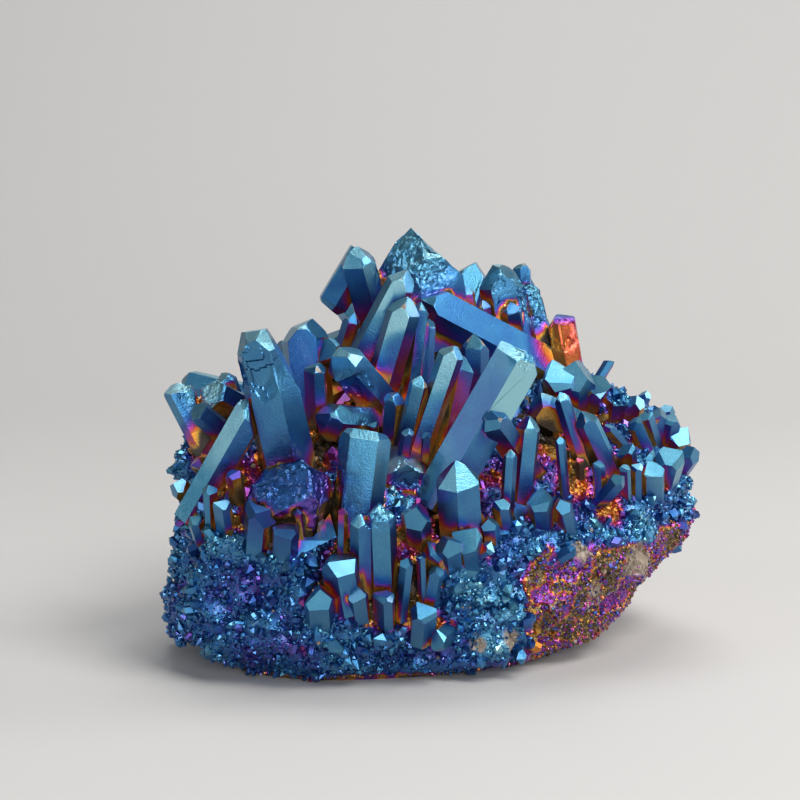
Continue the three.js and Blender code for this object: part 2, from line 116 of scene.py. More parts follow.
CRYSTALS = sorted(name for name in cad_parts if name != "rock")
solids = {name: node_arrays(name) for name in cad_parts}
everything = tree_of(solids.values())
crystals_only = tree_of([solids[name] for name in CRYSTALS])
print("triangles in the frame:", sum(len(triangles) for points, triangles in solids.values()))


# %% [markdown]
# A pixel of the photograph is a line of sight. Where that line first meets the model is the spot that the
# pixel shows, so a detail placed by a pixel still lies on the crystal that carries it.

# %% From a pixel to a spot
def spot_at(pixel):
    """The spot of the model that a pixel of the photograph shows, and the face's normal there."""
    across = (pixel[0] - PHOTO_SIDE / 2) / PHOTO_SIDE * SENSOR / LENS
    up = (PHOTO_SIDE / 2 - pixel[1]) / PHOTO_SIDE * SENSOR / LENS
    sight = view_forward + across * view_rightward + up * view_upward
    place, normal, _, _ = everything.ray_cast(camera_place.tolist(), sight.tolist())
    return np.array(place), np.array(normal)


print("tip of the peak:", spot_at((411, 240))[0].round(1))

# %% [markdown]
# ## Noise
# Every rough surface below starts from the same thing: a random number at each corner of an unseen grid,
# blended smoothly in between. The grid's step is the size of the lumps. Blender has such a noise too, but
# one written for arrays handles a hundred thousand points at once.

# %% Smooth noise
def lumps(points, size, seed=0):
    """Smooth noise between -1 and 1 at each point, with lumps about as wide as size."""
    place = np.asarray(points) / size + seed * 31.7
    cell = np.floor(place).astype(np.int64)
    part = place - cell
    part = part * part * (3 - 2 * part)
    total = np.zeros(len(place))
    for corner in itertools.product((0, 1), repeat=3):
        key = (cell + corner) * (73856093, 19349663, 83492791)
        value = (key[:, 0] ^ key[:, 1] ^ key[:, 2]) + seed * 7919
        value = (value ^ (value >> 13)) * 1274126177
        value = ((value ^ (value >> 16)) & 0xFFFF) / 0x8000 - 1.0
        total += value * np.prod(np.where(corner, part, 1 - part), axis=1)
    return total


def unit(vectors):
    return vectors / np.maximum(np.linalg.norm(vectors, axis=-1, keepdims=True), 1e-12)


def ramp_between(values, low, high):
    """0 below low, 1 above high, and a smooth rise between."""
    part = np.clip((values - low) / (high - low), 0, 1)
    return part * part * (3 - 2 * part)


# %% [markdown]
# ## How open each spot lay to the vapour
# Vapour travels in straight lines and sticks where it lands, so a spot's film is as thick as the share of
# the sky that it sees. That share is counted with rays: from each spot, a fan of directions round its normal,
# crowded towards it as the cosine law asks. A ray that gets away counts in full, one that is stopped nearby
# counts for little. The fan is turned at random from spot to spot, and the noise this leaves is then
# smoothed along the face, which looks better than the steps of a fan that stands still.

# %% Openness
RAYS = 26
REACH = 26.0  # how far off a neighbour still holds vapour back
SOURCE = unit(np.array([-0.15, -0.40, 0.90]))  # most vapour came from here


def even_directions(count):
    step = np.arange(count) + 0.5
    height = 1 - 2 * step / count
    turn = math.pi * (1 + 5 ** 0.5) * step
    level = np.sqrt(1 - height * height)
    return np.stack([level * np.cos(turn), level * np.sin(turn), height], axis=1)


def openness(points, normals, tree=everything):
    """The share of the vapour that reaches each point, from 0 to 1."""
    fan = even_directions(RAYS)
    turns = chance.uniform(0, 2 * math.pi, len(points))
    cos, sin = np.cos(turns)[:, None], np.sin(turns)[:, None]
    turned = np.stack([
        fan[:, 0] * cos - fan[:, 1] * sin,
        fan[:, 0] * sin + fan[:, 1] * cos,
        np.broadcast_to(fan[:, 2], (len(points), RAYS)),
    ], axis=2)
    ways = unit(normals[:, None, :] + 0.98 * turned)
    weights = 0.62 + 0.62 * np.maximum(ways @ SOURCE, 0)
    starts = (points + 0.2 * normals).tolist()
    far = np.ones((len(points), RAYS))
    for i, (start, fan_ways) in enumerate(zip(starts, ways.tolist())):
        for k, way in enumerate(fan_ways):
            distance = tree.ray_cast(start, way, REACH)[3]
            if distance is not None:
                far[i, k] = (distance / REACH) ** 0.6 * 0.8
    return (far * weights).mean(axis=1)


# %% [markdown]
# ## The film and the bare quartz
# The colours of a thin film come in a fixed order, so the material is one colour ramp over the film's
# thickness. The meshes carry that thickness with them as an attribute, film, from 0 to 1. It could be painted
# by hand, but worked out from the openness it is right in every nook at once. Shader maths is easier to read
# as an expression, so a small class wraps a socket and turns Python's operators into Math nodes.

# %% Shader expressions
class Wire:
    """A shader socket. Adding, subtracting and multiplying wires adds the Math nodes that do it."""

    def __init__(self, tree, socket=None):
        self.tree = tree
        self.socket = socket

    def node(self, kind, settings=None, sockets=None, output=0):
        made = self.tree.nodes.new(kind)
        for name, value in (settings or {}).items():
            if name == "stops":
                set_stops(made.color_ramp, value)
            else:
                setattr(made, name, value)
        for name, value in (sockets or {}).items():
            if isinstance(value, Wire):
                self.tree.links.new(value.socket, made.inputs[name])
            else:
                made.inputs[name].default_value = value
        return Wire(self.tree, made.outputs[output] if len(made.outputs) else None)

    def maths(self, operation, first, second=0.0):
        return self.node("ShaderNodeMath", {"operation": operation}, {0: first, 1: second})

    def __add__(self, other):
        return self.maths("ADD", self, other)

    def __radd__(self, other):
        return self.maths("ADD", other, self)

    def __sub__(self, other):
        return self.maths("SUBTRACT", self, other)

    def __rsub__(self, other):
        return self.maths("SUBTRACT", other, self)

    def __mul__(self, other):
        return self.maths("MULTIPLY", self, other)

    def __rmul__(self, other):
        return self.maths("MULTIPLY", other, self)

    def rise(self, low, high):
        """0 where this is below low, 1 above high, and a smooth rise between."""
        settings = {"interpolation_type": "SMOOTHSTEP"}
        return self.node("ShaderNodeMapRange", settings, {0: self, 1: low, 2: high, 3: 0.0, 4: 1.0})


def set_stops(ramp, stops):
    while len(ramp.elements) < len(stops):
        ramp.elements.new(1.0)
    for element, (place, colour) in zip(ramp.elements, stops):
        element.position = place
        element.color = (*colour, 1.0)


# %% [markdown]
# The stops of the ramp are the film's colours from its thinnest to its thickest. They are the metal's own
# reflection colours, so they look pale and bright in a highlight and deep in the shade.

# %% The film's colours
FILM_COLOURS = [
    (0.00, (0.030, 0.020, 0.010)),
    (0.08, (0.110, 0.066, 0.018)),
    (0.16, (0.480, 0.270, 0.050)),
    (0.23, (0.640, 0.250, 0.035)),
    (0.30, (0.500, 0.090, 0.045)),
    (0.38, (0.400, 0.045, 0.200)),
    (0.46, (0.230, 0.050, 0.360)),
    (0.54, (0.085, 0.065, 0.340)),
    (0.64, (0.026, 0.085, 0.300)),
    (0.75, (0.036, 0.160, 0.360)),
    (0.87, (0.075, 0.280, 0.420)),
    # the thickest film is teal, made pale and whitish here; the faces pushed up to it further down wear it as a
    # painted highlight
    (1.00, (0.280, 0.560, 0.640)),
]
BARE_COLOUR = (0.46, 0.37, 0.28)
SHADOW_COLOUR = (0.045, 0.026, 0.020)


def film_material(name, grain, grain_depth, gloss, striae, mottle=0.0):
    """The film on quartz. grain is the size of its fine roughness in millimetres, grain_depth how deep that
    is, gloss the roughness of its smoothest places, striae how deep the growth lines of the faces are, and
    mottle how much the film changes from grain to grain."""
    material = bpy.data.materials.new(name)
    material.use_nodes = True
    tree = material.node_tree
    tree.nodes.clear()
    start = Wire(tree)

    place = start.node("ShaderNodeTexCoord", output=3)

    def noise(size, detail=2.0, roughness=0.5):
        scale = 1 / (size * MM)
        sockets = {"Vector": place, "Scale": scale, "Detail": detail, "Roughness": roughness}
        return start.node("ShaderNodeTexNoise", None, sockets)

    def carried(attribute):
        settings = {"attribute_name": attribute, "attribute_type": "GEOMETRY"}
        return start.node("ShaderNodeAttribute", settings, output=2)

    film = carried("film")
    edge = carried("edge")
    bare = carried("bare")
    line = carried("line")
    smooth = carried("smooth")
    dull = carried("dull")

    patchy = noise(4.0) - 0.5
    fine = noise(grain, 3.0, 0.6) - 0.5
    thickness = film + 0.10 * patchy + (0.12 + mottle * (1 - smooth)) * fine
    chipped = (edge * 0.75 + noise(1.3, 3.0) * 0.9).rise(1.16, 1.26)
    naked = start.maths("MAXIMUM", chipped, bare)

    film_colour = start.node("ShaderNodeValToRGB", {"stops": FILM_COLOURS}, {"Fac": thickness})
    bare_colour = start.node("ShaderNodeMix", {"data_type": "RGBA"}, {
        "Factor": noise(0.9, 4.0),
        "A": (*SHADOW_COLOUR, 1.0),
        "B": (*BARE_COLOUR, 1.0),
    }, output=2)
    colour = start.node("ShaderNodeMix", {"data_type": "RGBA"}, {
        "Factor": naked, "A": film_colour, "B": bare_colour,
    }, output=2)

    metal = (0.15 + 0.82 * film.rise(0.03, 0.20)) * (1 - 0.8 * naked)
    coat = 0.35 * film.rise(0.03, 0.20) * (1 - 0.9 * dull)
    dulled = gloss + 0.16 * noise(1.6, 3.0) + 0.25 * naked + 0.22 * dull
    ridges = start.node("ShaderNodeTexNoise", {"noise_dimensions": "1D"},
                        {"W": line, "Scale": 1.9, "Detail": 3.0, "Roughness": 0.65})
    height = fine * grain_depth * (1 - 0.8 * smooth) + ridges * striae
    bump = start.node("ShaderNodeBump", None, {"Height": height, "Strength": 1.0, "Distance": MM})

    shader = start.node("ShaderNodeBsdfPrincipled", None, {
        "Base Color": colour,
        "Metallic": metal,
        "Roughness": dulled,
        "Normal": bump,
        "IOR": 1.55,
        "Coat Weight": coat,
        "Coat Roughness": 0.12,
    })
    start.node("ShaderNodeOutputMaterial", None, {"Surface": shader})
    return material


faces_film = film_material("film_on_faces", 0.34, 0.085, 0.27, 0.02)
druse_film = film_material("film_on_druse", 0.30, 0.014, 0.26, 0.0)
rock_film = film_material("film_on_rock", 0.34, 0.10, 0.32, 0.0, 0.6)
print("materials:", [material.name for material in bpy.data.materials])


# %% [markdown]
# ## From arrays to pieces
# A piece is a mesh with its attributes, its material, the body it rides on and its material slot. Flat
# shading is right for crystals: every face should catch the light as one plane.

# %% Making a piece
ATTRIBUTES = ("film", "edge", "bare", "line", "smooth")
made_triangles = {}


def make_piece(name, points, triangles, corner_values, material, replaced=()):
    """A Blender object from arrays. corner_values holds, by attribute, a number for each triangle corner."""
    mesh = bpy.data.meshes.new(name)
    mesh.from_pydata((points * MM).tolist(), [], triangles.tolist())
    for attribute in ATTRIBUTES:
        values = corner_values.get(attribute, np.zeros(triangles.size))
        layer = mesh.attributes.new(attribute, "FLOAT", "CORNER")
        layer.data.foreach_set("value", values.astype(np.float32).ravel())
    mesh.materials.append(material)
    piece = bpy.data.objects.new(name, mesh)
    bpy.context.scene.collection.objects.link(piece)
    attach(piece, "root")
    if replaced:
        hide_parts(*replaced)
    made_triangles[name] = len(triangles)
    return piece


# %% [markdown]
# ## Large crystals: faces first
# The frame's crystals are made of triangles, but a crystal is made of flat faces. Joining the triangles that
# lie in one plane finds the faces. Each face then gets a number, kept while the mesh is cut finer, so that
# later steps can tell the middle of a face from its edge, and the growth lines can run across each face on
# its own.

# %% Faces of a crystal
FLAT = math.radians(0.8)  # triangles within this angle are one face


def split(triangles, faces, middle):
    """Triangles cut at the middles of their edges, where middle holds a corner number and not -1."""
    cuts = (middle >= 0).sum(axis=1)
    first = np.where(cuts == 2, (middle < 0).argmax(axis=1) + 1, (middle >= 0).argmax(axis=1))
    order = (first[:, None] + np.arange(3)) % 3
    a, b, c = np.take_along_axis(triangles, order, axis=1).T
    ab, bc, ca = np.take_along_axis(middle, order, axis=1).T
    patterns = {
        0: [(a, b, c)],
        1: [(a, ab, c), (ab, b, c)],
        2: [(ab, b, bc), (a, ab, bc), (a, bc, c)],
        3: [(a, ab, ca), (ab, b, bc), (ca, bc, c), (ab, bc, ca)],
    }
    parts, labels = [], []
    for number, pattern in patterns.items():
        rows = cuts == number
        for corners in pattern:
            parts.append(np.stack(corners, axis=1)[rows])
            labels.append(faces[rows])
    return np.vstack(parts), np.concatenate(labels)


def refine(points, triangles, faces, limit_at):
    """Halves the longest edge of each triangle that has an edge longer than limit_at allows at its middle,
    round after round, until none is left."""
    while True:
        ends = points[triangles]
        after = triangles[:, (1, 2, 0)]
        lengths = np.linalg.norm(points[after] - ends, axis=2)
        middles = (points[after] + ends).reshape(-1, 3) / 2
        excess = lengths / limit_at(middles).reshape(lengths.shape)
        key = np.minimum(triangles, after) * len(points) + np.maximum(triangles, after)
        longest = lengths.argmax(axis=1)
        rows = np.flatnonzero(excess.max(axis=1) > 1)
        if not len(rows):
            return points, triangles, faces
        cut = np.unique(key[rows, longest[rows]])
        place = np.searchsorted(cut, key) % len(cut)
        middle = np.where(cut[place] == key, len(points) + place, -1)
        halves = (points[cut // len(points)] + points[cut % len(points)]) / 2
        points = np.vstack([points, halves])
        triangles, faces = split(triangles, faces, middle)


def fine_faces(name, limit_at, rim=0.0):
    """A node cut into small triangles: points, triangles, each triangle's face, and the faces' normals and
    lengthwise directions. rim is the width of a strip of its own along each face's edges."""
    mesh = bmesh.new()
    mesh.from_mesh(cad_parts[name].data)
    bmesh.ops.remove_doubles(mesh, verts=mesh.verts, dist=1e-6)
    bmesh.ops.dissolve_limit(mesh, angle_limit=FLAT, verts=mesh.verts, edges=mesh.edges)
    number = mesh.faces.layers.int.new("face")
    normals, lengthwise = [], []
    for i, face in enumerate(mesh.faces):
        face[number] = i
        normals.append(face.normal.copy())
        longest = max(face.edges, key=lambda edge: edge.calc_length())
        lengthwise.append((longest.verts[1].co - longest.verts[0].co).normalized())
    wide = [face for face in mesh.faces if face.calc_area() > 1.2 * rim * MM * face.calc_perimeter()]
    if rim:
        bmesh.ops.inset_individual(mesh, faces=wide, thickness=rim * MM, use_even_offset=False)
    bmesh.ops.triangulate(mesh, faces=mesh.faces)
    points = np.array([vertex.co for vertex in mesh.verts]) / MM
    triangles = np.array([[vertex.index for vertex in face.verts] for face in mesh.faces])
    faces = np.array([face[number] for face in mesh.faces])
    mesh.free()
    return *refine(points, triangles, faces, limit_at), np.array(normals), np.array(lengthwise)


# %% [markdown]
# A corner that belongs to two faces has one film thickness on each of them, because each face looks another
# way. So the openness is worked out once for each pair of corner and face, and smoothed along the face only.

# %% Film on a crystal
def pairs_of(triangles, faces):
    """Numbers the pairs of corner and face. Gives the pair of each triangle corner, and the corner and the
    face of each pair."""
    key = triangles.astype(np.int64) * (faces.max() + 1) + faces[:, None]
    pairs, of_corner = np.unique(key, return_inverse=True)
    return of_corner.reshape(triangles.shape), pairs // (faces.max() + 1), pairs % (faces.max() + 1)


def smoothed(values, of_corner, rounds):
    """Each value moved towards the mean of its neighbours', round after round."""
    for _ in range(rounds):
        total = np.zeros(len(values))
        count = np.zeros(len(values))
        for a, b in ((0, 1), (1, 2), (2, 0), (1, 0), (2, 1), (0, 2)):
            np.add.at(total, of_corner[:, a], values[of_corner[:, b]])
            np.add.at(count, of_corner[:, a], 1)
        values = 0.4 * values + 0.6 * total / np.maximum(count, 1)
    return values


# %% [markdown]
# The rays alone don't give every spot its film. A few spots get a thicker or thinner film here. In the recesses the
# film is thinner, as on the real cluster. On the broad bright faces and at the glint spots the film is pushed up to
# a paler teal, which is a painted highlight. The faces pushed thinner turn deeper blue and violet. Each is a pixel,
# the width of the spot in millimetres, and how much thicker or thinner the film is there.

# %% Spots of thinner film, and painted highlights
FILM_AND_GLINT_SPOTS = {
    "gold face in the recess": ((403, 352), 6.0, -0.30),
    "orange recess": ((455, 400), 7.0, -0.18),
    "brown recess behind the diagonal": ((541, 420), 5.0, -0.50),
    "brown recess under it": ((548, 446), 6.0, -0.50),
    "brown recess on the right": ((582, 468), 7.0, -0.50),
    "gold hollow on the right": ((612, 510), 5.0, -0.50),
    "olive recess on the left": ((205, 450), 8.0, -0.45),
    "violet crystals on the left": ((237, 482), 6.0, -0.22),
    "recess by the blade": ((325, 455), 7.0, -0.35),
    "orange root of the block": ((345, 510), 4.0, -0.40),
    "orange gap in the terrace": ((424, 508), 3.0, -0.40),
    "orange gap below it": ((402, 532), 4.0, -0.35),
    "gold corner on the far left": ((174, 606), 7.0, -0.16),
    "etched block": ((284, 486), 15.0, -0.20),
    "navy stub": ((404, 476), 7.0, 0.30),
    # the glint spots below get a thicker, paler film as a painted highlight
    "brighter druse in front": ((480, 615), 12.0, 0.09),
    "gold shaft of the bare point": ((565, 343), 9.0, -0.55),
    "painted glint on the left": ((203, 392), 5.0, 0.12),
    "painted glint on the knob": ((570, 382), 6.0, 0.20),
    "painted glint on the right": ((676, 462), 9.0, 0.14),
}
FILM_AND_HIGHLIGHT_FACES = {
    # faces pushed thicker here take a paler teal as a painted highlight; faces pushed thinner turn deeper blue and
    # violet
    "violet shoulder": ((298, 352), 8.0, -0.16),
    "violet stub": ((337, 300), 7.0, -0.16),
    "centre of the block": ((378, 470), 10.0, 0.16),
    "right side of the block": ((404, 470), 9.0, -0.12),
    "left side of the diagonal": ((482, 415), 12.0, -0.10),
    "foot of the diagonal": ((453, 462), 8.0, -0.26),
    "right side of the diagonal": ((515, 388), 12.0, 0.24),
    "centre tablet": ((395, 335), 9.0, 0.22),
    "spoon": ((398, 290), 8.0, 0.16),
    "upper left prism": ((370, 275), 8.0, 0.16),
    "bright blade": ((446, 370), 8.0, 0.14),
    "left pointer": ((232, 440), 10.0, 0.12),
    "upper side of the slab": ((480, 320), 16.0, -0.12),
}


def film_and_highlight_shift(points, normals):
    """How much thicker the film is at each point. Where the film is pushed up on the bright faces and at the glint
    spots, its paler colour is a painted highlight. A spot of the second list touches only faces that look the same
    way as the one its pixel shows."""
    change = np.zeros(len(points))
    for spots, one_face in ((FILM_AND_GLINT_SPOTS, False), (FILM_AND_HIGHLIGHT_FACES, True)):
        for pixel, width, amount in spots.values():
            place, spot_normal = spot_at(pixel)
            near = 1 - ramp_between(np.linalg.norm(points - place, axis=1), 0.4 * width, width)
            alike = ramp_between(normals @ spot_normal, 0.86, 0.96) if one_face else 1.0
            change += amount * near * alike
    return change


# %% [markdown]
# The openness becomes a film thickness by a curve. Open faces differ little, and most of the colours are
# crowded into the shaded crevices between them.

# %% From openness to film
FILM_BY_OPENNESS = [
    (0.00, 0.02), (0.18, 0.06), (0.32, 0.17), (0.39, 0.28), (0.45, 0.41), (0.51, 0.55),
    (0.58, 0.68), (0.68, 0.78), (0.90, 0.86), (1.03, 0.95),
]


def openness_by_cell(points, normals, faces, cell):
    """Openness at corners of faces, worked out once for each cell of a face and shared inside it."""
    keys = np.column_stack([np.round(points / cell), faces]).astype(np.int64)
    _, first, same = np.unique(keys, axis=0, return_index=True, return_inverse=True)
    return openness(points[first], normals[first])[same.ravel()]


def film_from(open_share, points, normals):
    """Film thickness from openness, with the listed spots and faces. Some of the thicker film there is a painted
    highlight.
    """
    thick = np.interp(open_share, *zip(*FILM_BY_OPENNESS))
    return thick + film_and_highlight_shift(points, normals) + 0.03 * lumps(points, 9.0, 3)


# %% [markdown]
# ## Large crystals: wear
# Real points were never cut, only grown, knocked and packed. Their edges carry tiny chips. Corners that lie
# on an outward edge are pushed in a little, by noise, so that the edge wavers and catches the light in
# dashes. Cutting bevels would give every edge the same even line, like a machined part.

# %% Chipped edges
STEP = 1.55  # longest triangle edge on a crystal
RIM = 0.30  # an edge's chips are about this wide
CHIP = 0.22  # deepest chip of an edge
CELL = 1.2  # openness is worked out this far apart


def outward_edges(points, triangles, faces, face_normals):
    """1 for the corners on an outward edge between faces, and the mean normal at every corner."""
    of_corner, corner, face = pairs_of(triangles, faces)
    mean = np.zeros_like(points)
    np.add.at(mean, corner, face_normals[face])
    mean = unit(mean)
    middle = points[triangles].mean(axis=1)
    lean = np.zeros(len(points))
    for k in range(3):
        away = unit(middle - points[triangles[:, k]])
        np.add.at(lean, triangles[:, k], (away * mean[triangles[:, k]]).sum(axis=1))
    shared = np.bincount(corner, minlength=len(points)) > 1
    spread = np.bincount(triangles.ravel(), minlength=len(points))
    return (shared & (lean / spread < -0.12)).astype(float), mean


# %% [markdown]
# Some places are more than chipped. Quartz breaks like glass, in shells and steps, and some ends are etched
# or hollow because they stopped growing. There the surface is pushed in by terraces of noise, on a finer
# mesh. Each place is a pixel, its width, the depth of the damage and the size of its lumps, in millimetres,
# and how stepped it is, from 0 for crumpled to 1 for terraces.

# %% Broken and etched places
FINE_STEP = 0.55
WORN_SPOTS = {
    "stepped notch of the left blade": ((249, 372), 7.0, 1.4, 5.0, 1.0),
    "etched block": ((286, 486), 15.0, 1.3, 4.2, 0.4),
    "stepped ridge of the dark diagonal": ((356, 390), 5.0, 0.8, 3.0, 1.0),
    "hollow end of the bare point": ((562, 331), 4.5, 1.6, 3.0, 1.0),
    "flaky peak": ((414, 262), 10.0, 1.4, 2.6, 0.4),
    "flaky end on the left": ((203, 392), 6.0, 0.8, 2.2, 0.6),
    "broken end of the navy stub": ((404, 482), 5.0, 0.7, 3.0, 1.0),
    "broken cap in front": ((379, 512), 4.0, 0.6, 1.6, 0.5),
    "rough column on the right": ((531, 300), 7.0, 0.9, 1.8, 0.2),
    "tablet on the right": ((507, 290), 5.0, 0.6, 2.6, 1.0),
    "end of the diagonal": ((528, 352), 4.0, 0.7, 2.0, 0.6),
    "top of the block": ((370, 428), 3.0, 0.5, 1.6, 0.3),
}
worn_places = [(spot_at(spot[0])[0], *spot[1:]) for spot in WORN_SPOTS.values()]


def crystal_limit(points):
    """The longest triangle edge allowed at each point."""
    limit = np.full(len(points), STEP)
    for place, width, *_ in worn_places:
        limit[np.linalg.norm(points - place, axis=1) < width] = FINE_STEP
    return limit


def damage(points):
    """How deep the surface is broken at each point, in millimetres, and how dull it is there, from 0 to 1."""
    depth = np.zeros(len(points))
    dull = np.zeros(len(points))
    for place, width, deepest, size, stepped in worn_places:
        near = 1 - ramp_between(np.linalg.norm(points - place, axis=1), 0.5 * width, width)
        rough = lumps(points, size, 51) + 0.45 * lumps(points, size / 2.3, 52)
        crumpled = 0.5 + 0.4 * rough + 0.3 * lumps(points, size / 4, 53)
        terraces = 0.5 + 0.4 * np.round(1.7 * rough) / 1.7 + 0.1 * rough
        shape = stepped * terraces + (1 - stepped) * crumpled
        depth += deepest * near * np.clip(shape, 0, 1.2)
        dull = np.maximum(dull, near * (1 - stepped))
    return depth, dull


# %% [markdown]
# Now every node of large crystals gets its visible piece: finer faces, the film's thickness on each of them,
# chipped edges and broken places. Each face also has a small shift of its film, since neighbouring faces of
# one crystal seldom took up quite the same amount. The piece stands in for the plain solid of the frame.

# %% Dressed crystals
def dress_crystal(name):
    points, triangles, faces, face_normals, lengthwise = fine_faces(name, crystal_limit, RIM)
    of_corner, corner, face = pairs_of(triangles, faces)
    edge, mean = outward_edges(points, triangles, faces, face_normals)
    open_share = openness_by_cell(points[corner], face_normals[face], face, CELL)
    open_share = smoothed(open_share, of_corner, 4)
    face_shift = chance.uniform(-0.05, 0.05, len(face_normals))
    film = film_from(open_share, points[corner], face_normals[face]) + face_shift[face]
    line = (points[corner] * lengthwise[face]).sum(axis=1) + 50 * face_shift[face]

    worn = 0.03 + CHIP * np.maximum(lumps(points, 1.4, 5) - 0.1, 0)
    broken_depth, dull = damage(points)
    points = points - (edge * worn + broken_depth)[:, None] * mean
    values = {
        "film": film[of_corner],
        "edge": edge[triangles],
        "line": line[of_corner],
        "dull": dull[triangles],
    }
    return make_piece(f"filmed_{name}", points, triangles, values, faces_film, [name])


for name in CRYSTALS:
    dress_crystal(name)
print("crystal triangles:", sum(made_triangles.values()))

# %% [markdown]
# ## The rock
# The rock's solid is a plain lump with small crystals on it. Here the lump gets its real relief, from
# ledges as wide as a thumb to crumbs. The small crystals must stay as they are. What tells them from the
# lump is how thin they are: most lines going in at a slant soon come out again.

# %% Fine rock
ROCK_STEP = 1.2
THIN = 10.0  # what is thinner than this along most lines is a crystal, not the lump
THIN_SHARE = 0.42


def thin_share(points, normals):
    """The share of slanted lines into the rock that soon come out again."""
    rock_tree = tree_of([solids["rock"]])
    starts = (points - 0.05 * normals).tolist()
    thin = np.zeros(len(points))
    slants = even_directions(12)
    for slant in slants:
        ways = unit(-normals + 0.8 * slant)
        for i, (start, way) in enumerate(zip(starts, ways.tolist())):
            thin[i] += rock_tree.ray_cast(start, way, THIN)[3] is not None
    return thin / len(slants)


def rock_limit(points):
    return np.full(len(points), ROCK_STEP)


rock_points, rock_triangles, rock_faces, rock_face_normals, _ = fine_faces("rock", rock_limit)
rock_of_corner, rock_corner, rock_face = pairs_of(rock_triangles, rock_faces)
_, rock_mean = outward_edges(rock_points, rock_triangles, rock_faces, rock_face_normals)
face_counts = np.maximum(np.bincount(rock_face, minlength=len(rock_face_normals)), 1)
corner_thin = thin_share(rock_points, rock_mean)[rock_corner]
grown_face = np.bincount(rock_face, corner_thin, len(rock_face_normals)) / face_counts > THIN_SHARE
grown = np.zeros(len(rock_points))
np.maximum.at(grown, rock_corner, grown_face[rock_face] * 1.0)
print("rock corners:", len(rock_points), "on small crystals:", int(grown.sum()))

# %% [markdown]
# Where the cluster broke out of its vein, the rock is bare of druse: the lower right in front, the back
# below the points, and the underside. One function gives that share, because the relief, the druse and
# the film all need it.

# %% Where the rock is broken
BROKEN_EDGE = [(536, 556), (590, 547), (640, 542), (676, 527)]  # pixels along the upper edge in front
edge_spots = np.array([spot_at(pixel)[0] for pixel in BROKEN_EDGE])


def broken_share(points):
    """1 on the broken rock, 0 on the druse."""
    x, y, z = points.T
    waver = 2.2 * lumps(points, 9.0, 11) + 1.2 * lumps(points, 2.5, 12)
    right = ramp_between(x + waver - edge_spots[0, 0], -1, 1)
    below = 1 - ramp_between(z + waver - np.interp(x, edge_spots[:, 0], edge_spots[:, 2]), -1, 1)
    behind = ramp_between(y + waver, 18, 24) * (1 - ramp_between(z + waver, 34, 42))
    under = 1 - ramp_between(z + 0.2 * waver, 0.4, 1.4)
    return np.maximum.reduce([right * below, behind, under])


# %% [markdown]
# Here and there the fracture shows the quartz itself, pale and dull, because grains fell out after coating.

# %% Pale patches
PALE_SPOTS = {
    "large patch by the edge": ((641, 562), 4.5),
    "large patch below": ((603, 604), 4.5),
    "patch at the upper edge": ((581, 553), 2.5),
    "small patch in the middle": ((558, 607), 1.6),
    "patch low in front": ((512, 643), 2.0),
    "next patch low in front": ((478, 647), 1.8),
    "patch at the foot": ((426, 647), 1.6),
    "patch between the crystals": ((540, 502), 2.4),
}
pale_places = [(spot_at(pixel)[0], width) for pixel, width in PALE_SPOTS.values()]


def pale_share(points):
    """1 on the pale patches."""
    rough = lumps(points, 2.2, 44)
    share = broken_share(points) * ramp_between(lumps(points, 8.0, 43) + 0.5 * rough, 0.80, 0.95)
    for place, width in pale_places:
        distance = np.linalg.norm(points - place, axis=1) + 0.6 * width * rough
        share = np.maximum(share, 1 - ramp_between(distance, 0.6 * width, width))
    return share


# %% [markdown]
# The lump is pushed out by a millimetre at most, and in by a few, so that the large points still stand in
# their sockets. The druse side is knobbly and the broken side is ledged. On the fracture the film is nearly missing,
# with violet patches where some vapour crept in.

# %% Rough rock
BASE_FLAT = 1.2  # the rock rests on what is lower than this
CLEAN_FILM = 0.88  # the thickest film on the small crystals of the rock


def broken_film(points):
    """Film on the broken rock: nearly none, and violet in patches."""
    patches = lumps(points, 5.0, 41) + 0.6 * lumps(points, 1.8, 42)
    return 0.03 + 0.44 * ramp_between(patches, -0.12, 0.12)


def relief(points, thin):
    """How far each corner of the rock is pushed out, in millimetres."""
    broken = broken_share(points)
    ledges = np.round(2.2 * lumps(points, 10.0, 21)) / 2.2
    druse = 2.4 * lumps(points, 7.5, 22) + 1.3 * lumps(points, 3.4, 23) + 0.4 * lumps(points, 1.6, 26)
    crumbs = 1.2 * ledges + 0.9 * lumps(points, 4.0, 24) + 0.4 * lumps(points, 1.4, 25)
    push = np.minimum((1 - broken) * druse + broken * crumbs - 0.9, 1.0)
    return push * (1 - thin) * ramp_between(points[:, 2], BASE_FLAT, 5.0)


rock_relief = relief(rock_points, grown)
rock_rough = rock_points + rock_relief[:, None] * rock_mean
seen_normals = np.where(grown_face[rock_face][:, None], rock_face_normals[rock_face], rock_mean[rock_corner])
rock_open = openness_by_cell(rock_points[rock_corner], seen_normals, rock_face * grown_face[rock_face], CELL)
rock_open = smoothed(rock_open, rock_of_corner, 3)
rock_broken = broken_share(rock_points)
rock_film_values = film_from(rock_open, rock_points[rock_corner], seen_normals)
rock_film_values += (0.07 * np.minimum(rock_relief, 0.5) - 0.06 * (1 - grown))[rock_corner]
rock_film_values = np.minimum(rock_film_values, CLEAN_FILM)
crumbly = (rock_broken * (1 - grown))[rock_corner]
rock_film_values += crumbly * (broken_film(rock_points)[rock_corner] - rock_film_values)
rock_piece = make_piece(
    "rough_rock", rock_rough, rock_triangles,
    {
        "film": rock_film_values[rock_of_corner],
        "bare": (pale_share(rock_points) * (1 - grown))[rock_triangles],
        "smooth": np.repeat(grown_face[rock_faces] * 1.0, 3),
    },
    rock_film, ["rock"],
)
print("rock triangles:", made_triangles["rough_rock"])

# %% [markdown]
# ## Druse
# Druse is a carpet of tiny quartz points, each no wider than a pinhead. They could be scattered as instances,
# but joined meshes made from arrays keep every facet in the model itself. A crystal's shape is one template,
# stretched, turned and broken differently for each copy.

